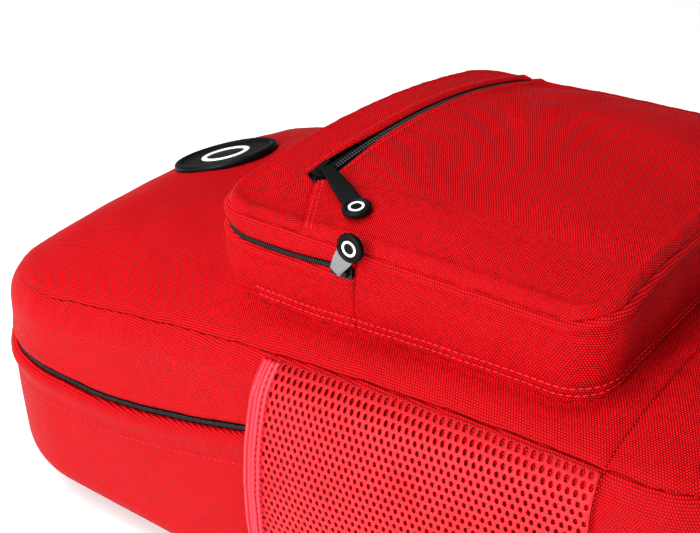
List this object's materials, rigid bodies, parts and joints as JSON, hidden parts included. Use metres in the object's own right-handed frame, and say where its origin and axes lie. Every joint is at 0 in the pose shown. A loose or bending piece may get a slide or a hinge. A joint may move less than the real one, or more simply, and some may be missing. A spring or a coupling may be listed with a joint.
{
  "type": "daypack",
  "caption": "Soft red daypack lying on its back, with a zipped front pocket, mesh side pockets, padded straps and a round badge.",
  "frame": {"origin": "centre of the pack's footprint, on the surface its back pads lie on", "axes": "+X towards the base of the pack, +Y towards the wearer's right, +Z out of the front of the pack"},
  "size_m": [0.467, 0.3376, 0.2245],
  "materials": {
    "red_oxford": "woven polyester with a fine diagonal rib",
    "red_mesh": "open air mesh",
    "red_binding": "ribbed elastic binding, slightly shiny",
    "pad_mesh": "padded air mesh",
    "webbing": "woven webbing",
    "zip_tape": "woven zip tape",
    "zip_coil": "moulded nylon coil",
    "slider_metal": "black painted zinc",
    "pull_rubber": "soft moulded rubber",
    "grey_webbing": "flat grey tape",
    "mark_white": "raised white print",
    "buckle_plastic": "moulded acetal",
    "foam_liner": "lining over foam",
    "board": "stiffening board"
  },
  "bodies": {
    "root": {"anchor_tab_left": "red_oxford", "anchor_tab_right": "red_oxford", "back_panel": "red_oxford", "badge": "pull_rubber", "badge_ring": "mark_white", "base_board": "board", "base_panel": "red_oxford", "front_gusset": "red_oxford", "front_panel": "red_oxford", "laptop_sleeve": "foam_liner", "lumbar_pad": "pad_mesh", "main_zip_coil": "zip_coil", "main_zip_tape": "zip_tape", "mesh_binding_left": "red_binding", "mesh_binding_right": "red_binding", "mesh_pocket_left": "red_mesh", "mesh_pocket_right": "red_mesh", "pocket_face_lower": "red_oxford", "pocket_face_upper": "red_oxford", "pocket_gusset_back": "red_oxford", "pocket_gusset_front": "red_oxford", "pocket_wall": "red_oxford", "pocket_zip_coil": "zip_coil", "pocket_zip_tape": "zip_tape", "rear_gusset": "red_oxford", "side_wall_left": "red_oxford", "side_wall_right": "red_oxford", "side_zip_coil": "zip_coil", "side_zip_tape": "zip_tape", "spine_pad": "pad_mesh", "strap_webbing_left": "webbing", "strap_webbing_right": "webbing", "yoke_pad": "pad_mesh"},
    "strap_left": {"shoulder_strap_left": "pad_mesh", "ladder_lock_left": "buckle_plastic"},
    "strap_right": {"shoulder_strap_right": "pad_mesh", "ladder_lock_right": "buckle_plastic"},
    "handle": {"grab_handle": "webbing"},
    "main_slider_left": {"main_slider_left": "slider_metal"},
    "main_slider_right": {"main_slider_right": "slider_metal"},
    "main_pull_left": {"main_left_pull": "pull_rubber", "main_left_pull_disc": "pull_rubber"},
    "main_pull_right": {"main_right_pull": "pull_rubber", "main_right_pull_disc": "pull_rubber"},
    "pocket_slider": {"pocket_slider": "slider_metal"},
    "pocket_pull": {"pocket_pull": "pull_rubber", "pocket_pull_disc": "pull_rubber"},
    "side_slider": {"side_slider": "slider_metal"},
    "side_pull": {"side_pull": "grey_webbing", "side_pull_disc": "pull_rubber"}
  },
  "joints": [
    {"name": "strap_left_swing", "type": "hinge", "parent": "root", "child": "strap_left", "pos_m": [-0.152, -0.062, 0.0134], "axis": [0, 1, 0], "range_deg": [0, 35]},
    {"name": "strap_right_swing", "type": "hinge", "parent": "root", "child": "strap_right", "pos_m": [-0.152, 0.062, 0.0134], "axis": [0, 1, 0], "range_deg": [0, 35]},
    {"name": "handle_swing", "type": "hinge", "parent": "root", "child": "handle", "pos_m": [-0.2291, 0, 0.02], "axis": [0, -1, 0], "range_deg": [0, 100]},
    {"name": "main_zip_left", "type": "slide", "parent": "root", "child": "main_slider_left", "axis": [0, -1, 0], "range_m": [0, 0.045]},
    {"name": "main_zip_right", "type": "slide", "parent": "root", "child": "main_slider_right", "axis": [0, 1, 0], "range_m": [0, 0.045]},
    {"name": "main_pull_left_swing", "type": "hinge", "parent": "main_slider_left", "child": "main_pull_left", "pos_m": [-0.2318, -0.012, 0.09], "axis": [0, 1, 0], "range_deg": [0, 170]},
    {"name": "main_pull_right_swing", "type": "hinge", "parent": "main_slider_right", "child": "main_pull_right", "pos_m": [-0.2318, 0.012, 0.09], "axis": [0, 1, 0], "range_deg": [0, 170]},
    {"name": "pocket_zip", "type": "hinge", "parent": "root", "child": "pocket_slider", "pos_m": [-0.011, 0, -0.24643], "axis": [-1, 0, 0], "range_deg": [0, 23.8]},
    {"name": "pocket_pull_swing", "type": "hinge", "parent": "pocket_slider", "child": "pocket_pull", "pos_m": [-0.0072, -0.0864, 0.2208], "axis": [-0.5415, -0.8167, -0.1997], "range_deg": [0, 95]},
    {"name": "side_zip", "type": "slide", "parent": "root", "child": "side_slider", "axis": [-1, 0, 0], "range_m": [0, 0.045]},
    {"name": "side_pull_swing", "type": "hinge", "parent": "side_slider", "child": "side_pull", "pos_m": [0.032, -0.1304, 0.1955], "axis": [0.8549, 0.007, -0.5188], "range_deg": [0, 150]}
  ]
}
